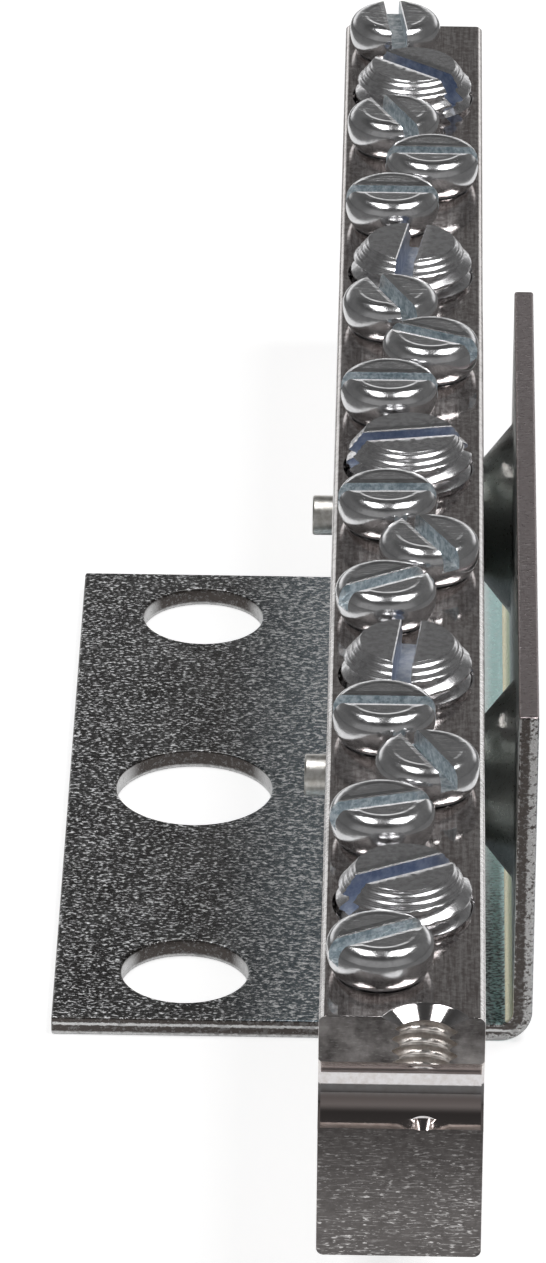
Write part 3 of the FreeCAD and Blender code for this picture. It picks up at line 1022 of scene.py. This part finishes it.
def riveted():
    net, values = new_tree("rivets", ["Head Radius", "Length", *RIVET])
    head, length, shank, dome, tall, bevel, dish = values
    low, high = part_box("rivet_front")
    body = turned(net, 48, [
        (4, head - dome, 0.0, "line"),
        (8, dome, 0 - dome, "over"),
        (2, 0.0, dome - tall, "line"),
        (2, shank - head, 0.0, "line"),
        (6, 0.0, tall + bevel - length, "line"),
        (3, 0 - bevel, 0 - bevel, "under"),
        (2, bevel - shank / 2, 0.0, "line"),
        (3, 0 - shank / 2, dish, "line"),
    ])
    body = moved(net, body, (0, 0, 0), (0, math.pi / 2, 0))
    spot = middle("rivet_front")
    step = middle("rivet_rear").y - spot.y
    pair = row_of(net, body, (high.x, spot.y, spot.z), 2, step)
    sizes = {**RIVET, "Head Radius": (high.y - low.y) / 2, "Length": high.x - low.x}
    return made_by(net, end_tree(net, pair, finish["rivet_steel"]), "rivets_set", sizes)


rivets = riveted()
shade(rivets)
seat(rivets, "bar_and_bracket", "rivet_steel", "rivet_front", "rivet_rear")

# %% [markdown]
# ## Floor, light and camera
# The part stands on a wide white floor. Metal shows what stands around it, and a floor that is bright
# everywhere would leave it without darks. So metal sees only a card of bright floor round the part, and
# the rest as a dim room. The camera sees all of it white, with soft shadows.

# %% Floor
CARD = {"left": -0.028, "right": 0.05, "front": -0.107, "back": 0.6}
FLOOR_REACH = 1.5
FLOOR_FADE = (0.12, 0.5)
FLOOR_GREY, DIM_GREY = (0.5, 0.5, 0.5), (0.16, 0.16, 0.16)
SHOWN_TO_CAMERA = 0.72
SHOWN_TO_METAL = 0.45
BLACK, WHITE = (0, 0, 0), (1, 1, 1)


def floor_white():
    material = bpy.data.materials.new("white_floor")
    material.use_nodes = True
    net = Net(material.node_tree)
    x, y, _ = net.node("ShaderNodeTexCoord").out("Object").xyz()
    card = (x > CARD["left"]) * (x < CARD["right"]) * (y > CARD["front"]) * (y < CARD["back"])
    far = (x * x + y * y).math("SQRT").smooth(*FLOOR_FADE)
    path = net.node("ShaderNodeLightPath")
    camera_ray = path.out("Is Camera Ray")
    base = camera_ray.math("MAXIMUM", card).blend(DIM_GREY, FLOOR_GREY)
    mirrored = (path.out("Is Glossy Ray") + path.out("Is Transmission Ray")).between(0.0, 1.0) * card
    seen = camera_ray * (SHOWN_TO_CAMERA + far * (1 - SHOWN_TO_CAMERA)) + mirrored * SHOWN_TO_METAL
    shown = seen.between(0.0, 1.0).blend(BLACK, WHITE)
    shader = material.node_tree.nodes["Principled BSDF"]
    net.tree.links.new(base.socket, shader.inputs["Base Color"])
    net.tree.links.new(shown.socket, shader.inputs["Emission Color"])
    shader.inputs["Emission Strength"].default_value = 1.0
    shader.inputs["Roughness"].default_value = 0.9
    return material


corners = [(side * FLOOR_REACH, depth * FLOOR_REACH, cad_box[0][2])
           for side, depth in ((-1, -1), (1, -1), (1, 1), (-1, 1))]
floor_mesh = bpy.data.meshes.new("floor")
floor_mesh.from_pydata(corners, [], [(0, 1, 2, 3)])
floor_mesh.materials.append(floor_white())
floor = bpy.data.objects.new("floor", floor_mesh)
bpy.context.scene.collection.objects.link(floor)
print("floor at height", round(cad_box[0][2], 5))

# %% [markdown]
# ### Room and soft boxes
# Two soft boxes hang overhead, and give each rounded head its pair of highlights. The room is a world of
# tones: a bright low band behind the bar, a little fill from the camera's side and a dark ceiling. Cards
# and flags could stand there as objects, but a world can't throw a shadow or get into the picture.

# %% Room and soft boxes
ROOM_TONE, BACK_BAND, FRONT_FILL, CEILING_DROP = 0.13, 0.87, 0.15, 0.085
BOX_HEIGHT, BOX_BRIGHTNESS = 0.62, 7.3


def room():
    world = bpy.data.worlds.new("studio")
    bpy.context.scene.world = world
    world.use_nodes = True
    net = Net(world.node_tree)
    x, y, z = net.node("ShaderNodeTexCoord").out("Generated").xyz()
    level = (x * x + y * y).math("SQRT")
    behind = (y / level.math("MAXIMUM", 0.01)).smooth(0.60, 0.86) * (1 - z.smooth(0.15, 0.33))
    front = (0 - y).smooth(0.2, 0.6) * (1 - z.smooth(0.5, 0.8))
    studio = ROOM_TONE + behind * BACK_BAND + front * FRONT_FILL - z.smooth(0.5, 0.85) * CEILING_DROP
    seen = net.node("ShaderNodeLightPath").out("Is Camera Ray")
    shown = studio.math("MAXIMUM", seen).blend(BLACK, WHITE)
    background = world.node_tree.nodes["Background"]
    net.tree.links.new(shown.socket, background.inputs["Color"])
    background.inputs["Strength"].default_value = 1.0


def soft_box(name, aside, size):
    light = bpy.data.lights.new(name, "AREA")
    light.shape = "RECTANGLE"
    light.size, light.size_y = size
    light.energy = BOX_BRIGHTNESS * math.pi * size[0] * size[1]
    lamp = bpy.data.objects.new(name, light)
    lamp.location = (aside, 0.0, BOX_HEIGHT)
    lamp.visible_camera = False
    bpy.context.scene.collection.objects.link(lamp)
    print(name, round(light.energy, 3), "W")


room()
soft_box("soft_box_left", -0.17, (0.17, 0.36))
soft_box("soft_box_right", 0.28, (0.30, 0.36))

# %% [markdown]
# ### Camera
# A long lens looks down the bar from the front, a little turned. Its place and its focal length in pixels
# were solved from the photograph, so that the bar and the bracket fall where they do there.

# %% Camera
CAMERA_PLACE = Vector((12.25, -548.72, 296.96)) * MM
LOOK_DOWN, TURN, ROLL = (math.radians(a) for a in (27.39, 0.761, 0.552))
FOCAL_PIXELS = 9669.8
IMAGE_WIDTH = 546
SENSOR = 36.0
lens = bpy.data.cameras.new("camera")
lens.sensor_fit = "HORIZONTAL"
lens.sensor_width = SENSOR
lens.lens = FOCAL_PIXELS * SENSOR / IMAGE_WIDTH
camera = bpy.data.objects.new("camera", lens)
bpy.context.scene.collection.objects.link(camera)
aim = Matrix.Rotation(TURN, 4, "Z") @ Matrix.Rotation(math.pi / 2 - LOOK_DOWN, 4, "X")
camera.matrix_world = Matrix.Translation(CAMERA_PLACE) @ aim @ Matrix.Rotation(ROLL, 4, "Z")
bpy.context.scene.camera = camera
bpy.context.scene.view_settings.view_transform = "Standard"
print("camera lens", round(lens.lens, 1), "mm")
